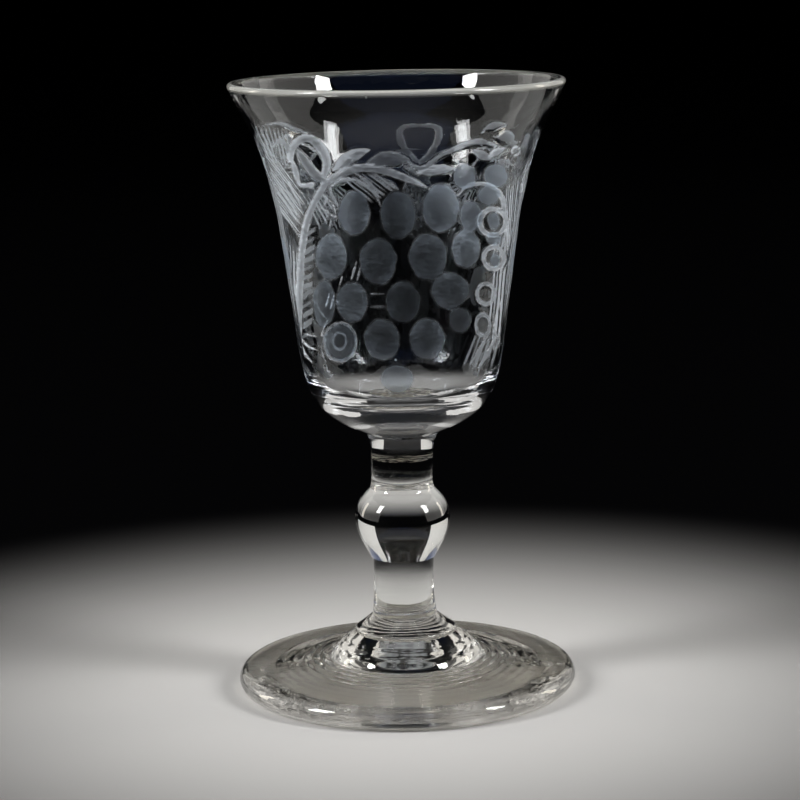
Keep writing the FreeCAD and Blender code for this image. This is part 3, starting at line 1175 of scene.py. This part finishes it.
def engraved_frost(nodes, place):
    """The bell's matt grapes, lighter at their edges by a painted highlight and bluer by painted light,
    its whiter cuts and its fine hatching.
    """
    wheel = nodes.mottle(nodes.stretched(place, wheel_scales), *wheel_marking)
    mottling = {"grape": (wheel, nodes.mottle(place, *grape_clouding)), "cut": (wheel,)}
    masks, whites = {}, {}
    for kind, amount, fade, frost in motifs:
        edge = nodes.shake(nodes.attribute(kind + "_edge"), place, amount, *edge_noise)
        tone = nodes.attribute(kind + "_tone")
        masks[kind] = nodes.fall(edge, *fade)
        # For the grapes, the white that rises towards the edge is a painted highlight.
        whites[kind] = nodes.product(nodes.spread(edge, *frost), masks[kind], tone, *mottling[kind])
    for layer in hatch_layers:
        masks[layer], whites[layer] = hatch_lines(nodes, place, layer)
    # The lip's wear and its painted glow make it white and a little matt.
    lip_glow_and_wear = nodes.attribute("lip_wear_and_painted_glow")
    lip_worn_and_glowing = nodes.product(nodes.spread(lip_glow_and_wear, *lip_wear_and_glow_limits), lip_matt)
    white = nodes.maths("MINIMUM", nodes.largest(lip_glow_and_wear, *whites.values()), whitest)
    # Painted blue light: the grapes take the bluer white.
    colour = nodes.mix(masks["grape"], frost_white, grape_white_with_painted_blue_light)
    return white, nodes.largest(lip_worn_and_glowing, *masks.values()), colour


# Wear under the foot: how high up the standing ring it reaches, in millimetres, and over which
# radii and heights the pontil scar ends
standing_wear_height = 0.2
scar_end_radii = (4.8, 5.8)
scar_end_heights = (3.8, 4.4)
rubbing = (1400, 3, 0.56, 0.74, 0, 0.16)
breaking = (420, 3, 0.4, 0.7, 0.04, 0.5)
worn_matt_limits = (0.01, 0.15)


def worn_foot_frost(nodes, place):
    """Wear on the standing ring, and the rough broken glass of the pontil scar."""
    height = nodes.add("SeparateXYZ", {"Vector": place}).outputs["Z"]
    radius = nodes.length(nodes.stretched(place, (1, 1, 0)))
    ring = nodes.product(nodes.fall(height, 0.0, standing_wear_height * MM), nodes.mottle(place, *rubbing))
    scar = nodes.product(
        nodes.fall(radius, *(MM * end for end in scar_end_radii)),
        nodes.fall(height, *(MM * end for end in scar_end_heights)),
        nodes.mottle(place, *breaking),
    )
    white = nodes.largest(ring, scar)
    return white, nodes.spread(white, *worn_matt_limits), frost_white


def joint_material():
    """The faces at which two gathers are one glass: light goes straight through them."""
    nodes = Nodes("fused_joint")
    nodes.join({"Alpha": 0}, nodes.shader)
    return nodes.material


grime_noise = (520, 4, 0.7)
grime_limits = (0.4, 0.7)
grime_dark = (0.07, 0.055, 0.035, 1)
grime_pale = (0.70, 0.64, 0.50, 1)
grime_alpha = (0.40, 0.60, 0.05, 0.9)
grime_roughness = (0.3, 0.6)


def seam_material():
    """The weld seam under the bowl, where dirt and fine bubbles were caught in the joint."""
    nodes = Nodes("weld_seam")
    grime = nodes.noise(nodes.object_place(), *grime_noise)
    inputs = {
        "Base Color": nodes.mix(nodes.spread(grime, *grime_limits), grime_dark, grime_pale),
        "Alpha": nodes.spread(grime, *grime_alpha),
        "Roughness": nodes.spread(grime, *grime_limits, *grime_roughness),
    }
    nodes.join(inputs, nodes.shader)
    return nodes.material


joint = joint_material()
seam = seam_material()


def placed(name, data):
    """A new object in the scene."""
    thing = bpy.data.objects.new(name, data)
    bpy.context.scene.collection.objects.link(thing)
    return thing


def piece_from(lathe, name, node, glass, fields=()):
    """Adds the visible piece that stands for a solid."""
    mesh = lathe.mesh(name)
    for field, values in dict(fields).items():
        attribute = mesh.attributes.new(field, "FLOAT", "POINT")
        attribute.data.foreach_set("value", values.astype(np.float32))
    for material in (glass, joint, seam):
        mesh.materials.append(material)
    piece = placed(name, mesh)
    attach(piece, BODY)
    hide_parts(node)


# Wear on the lip, and a painted glow for the light that its bead gathers: their white, and where it
# fades, outward in the given direction and away from the bead's centre, both in radii of the bead
lip_wear_and_glow_white = 0.34
lip_wear_and_glow_direction = (0.8, 0.6)
lip_wear_and_glow_outward = (0.1, 0.8)
lip_wear_and_glow_away = (1.35, 1.15)


def lip_wear_and_painted_glow(lathe):
    """The lip's white on the top and the outside of its bead: faint wear by use, and a painted glow for
    the light that the bead gathers.
    """
    verts = np.array(lathe.verts)
    out = (np.hypot(verts[:, 0], verts[:, 1]) - lip_centre[0]) / bowl_lip_bead_radius
    up = (verts[:, 2] - lip_centre[1]) / bowl_lip_bead_radius
    outward = out * lip_wear_and_glow_direction[0] + up * lip_wear_and_glow_direction[1]
    return lip_wear_and_glow_white * ease(outward, *lip_wear_and_glow_outward) * ease(np.hypot(out, up), *lip_wear_and_glow_away)


def make_goblet():
    stem_glass = old_glass("stem_glass", *stem_look)
    foot_glass = old_glass("foot_glass", *foot_look, worn_foot_frost)
    bowl_glass = old_glass("bowl_glass", *bowl_look, engraved_frost)
    piece_from(foot_lathe(), "foot_glass", "foot", foot_glass)
    knop, upper_stem, bowl_collar = fire_softened(knop_side(), upper_stem_side(), bowl_collar_side())
    gathers = (
        ("foot_collar", foot_collar_side(), JOINT, "foot_glass", foot_glass),
        ("lower_stem", lower_stem_side(), JOINT, "stem_glass", stem_glass),
        ("knop", knop, JOINT, "stem_glass", stem_glass),
        ("upper_stem", upper_stem, SEAM, "stem_glass", stem_glass),
        ("bowl_collar", bowl_collar, JOINT, "stem_glass", stem_glass),
    )
    for node, side, top, slot, glass in gathers:
        piece_from(gather_lathe(side, top), node + "_glass", node, glass)
    bowl = bowl_lathe()
    fields = engrave(bowl)
    fields["lip_wear_and_painted_glow"] = lip_wear_and_painted_glow(bowl)
    piece_from(bowl, "bowl_glass", "bowl", bowl_glass, fields)


make_goblet()


# The studio, in metres. The floor is pale at the glass and fades to near black at the radius below: a
# painted pool of light.
floor_half_side = 6.0
floor_gap = 0.0001
floor_roughness = 0.9
painted_light_pool_radius = 0.19
floor_colour = (0.56, 0.55, 0.535, 1)
dark_colour = (0.0012, 0.0012, 0.0014, 1)


def make_floor():
    sides = ((-1, -1), (1, -1), (1, 1), (-1, 1))
    corners = [(x * floor_half_side, y * floor_half_side, -floor_gap) for x, y in sides]
    mesh = bpy.data.meshes.new("floor")
    mesh.from_pydata(corners, [], [(0, 1, 2, 3)])
    nodes = Nodes("floor_with_painted_light_pool")
    # Painted light: a pool of light, pale at the glass and falling off to near black.
    limits = {"Value": nodes.length(nodes.object_place()), "From Max": painted_light_pool_radius}
    fade = nodes.add("MapRange", limits, interpolation_type="SMOOTHERSTEP").outputs["Result"]
    inputs = {
        "Base Color": nodes.mix(fade, floor_colour, dark_colour),
        "Roughness": floor_roughness,
        "Specular IOR Level": 0,
    }
    nodes.join(inputs, nodes.shader)
    mesh.materials.append(nodes.material)
    floor = placed("floor", mesh)


def make_world():
    world = bpy.data.worlds.new("studio")
    bpy.context.scene.world = world
    world.use_nodes = True
    background = world.node_tree.nodes["Background"]
    background.inputs["Color"].default_value = dark_colour
    background.inputs["Strength"].default_value = 1


# Lamps: azimuth from the camera's side and elevation, in degrees, distance from the middle of the
# glass, width, height, radiance, colour, and whether they are seen through the glass. The panels at
# the sides would whiten the bowl and the strips its solid base, so these are only reflected.
white_light = (1, 1, 1)
warm_light = (1.0, 0.93, 0.80)
cream_light = (1.0, 0.98, 0.94)
blue_light = (0.33, 0.48, 1.0)
side_lamps = (
    ("softbox", 66, 31.5, 1.1, 0.20, 0.42, 34, white_light, True),
    ("strip", 112, 8, 1.0, 0.14, 0.6, 6, warm_light, False),
    ("panel", 92, 15, 1.0, 1.3, 1.0, 1.1, cream_light, False),
    ("back_panel", 134, 12, 1.1, 0.8, 0.9, 0.7, cream_light, True),
)
middle_lamps = (
    ("top_softbox", 0, 88, 1.4, 1.0, 1.0, 0.7, white_light, True),
    ("front_panel", 0, 40, 1.3, 2.4, 0.8, 0.17, blue_light, True),
)


def softbox(name, azimuth, elevation, distance, width, height, radiance, colour, through_glass):
    """A soft rectangular lamp that faces the middle of the glass."""
    light = bpy.data.lights.new(name, "AREA")
    light.shape = "RECTANGLE"
    light.size, light.size_y = width, height
    light.energy = radiance * math.pi * width * height
    light.color = colour
    turn, rise = math.radians(azimuth), math.radians(elevation)
    level = math.cos(rise)
    back = Vector((math.sin(turn) * level, -math.cos(turn) * level, math.sin(rise)))
    lamp = placed(name, light)
    lamp.location = Vector((0, 0, rim_z * MM / 2)) + back * distance
    lamp.rotation_euler = back.to_track_quat("Z", "Y").to_euler()
    lamp.visible_camera = False
    lamp.visible_transmission = through_glass


def make_camera():
    data = bpy.data.cameras.new("camera")
    data.sensor_width = sensor_width
    data.lens = camera_focal_pixels / frame_pixels * sensor_width
    data.clip_start, data.clip_end = clip_distances
    camera = placed("camera", data)
    right, up, forward = camera_axes()
    matrix = Matrix([right, up, -forward]).transposed().to_4x4()
    matrix.translation = Vector(camera_place * MM)
    camera.matrix_world = matrix
    bpy.context.scene.camera = camera


make_floor()
make_world()
for side, prefix in ((-1, "left_"), (1, "right_")):
    for name, azimuth, *rest in side_lamps:
        softbox(prefix + name, side * azimuth, *rest)
for settings in middle_lamps:
    softbox(*settings)
make_camera()

scene = bpy.context.scene
scene.view_settings.view_transform = "Standard"
scene.cycles.max_bounces = 24
scene.cycles.transmission_bounces = 24
scene.cycles.glossy_bounces = 12
scene.cycles.transparent_max_bounces = 32
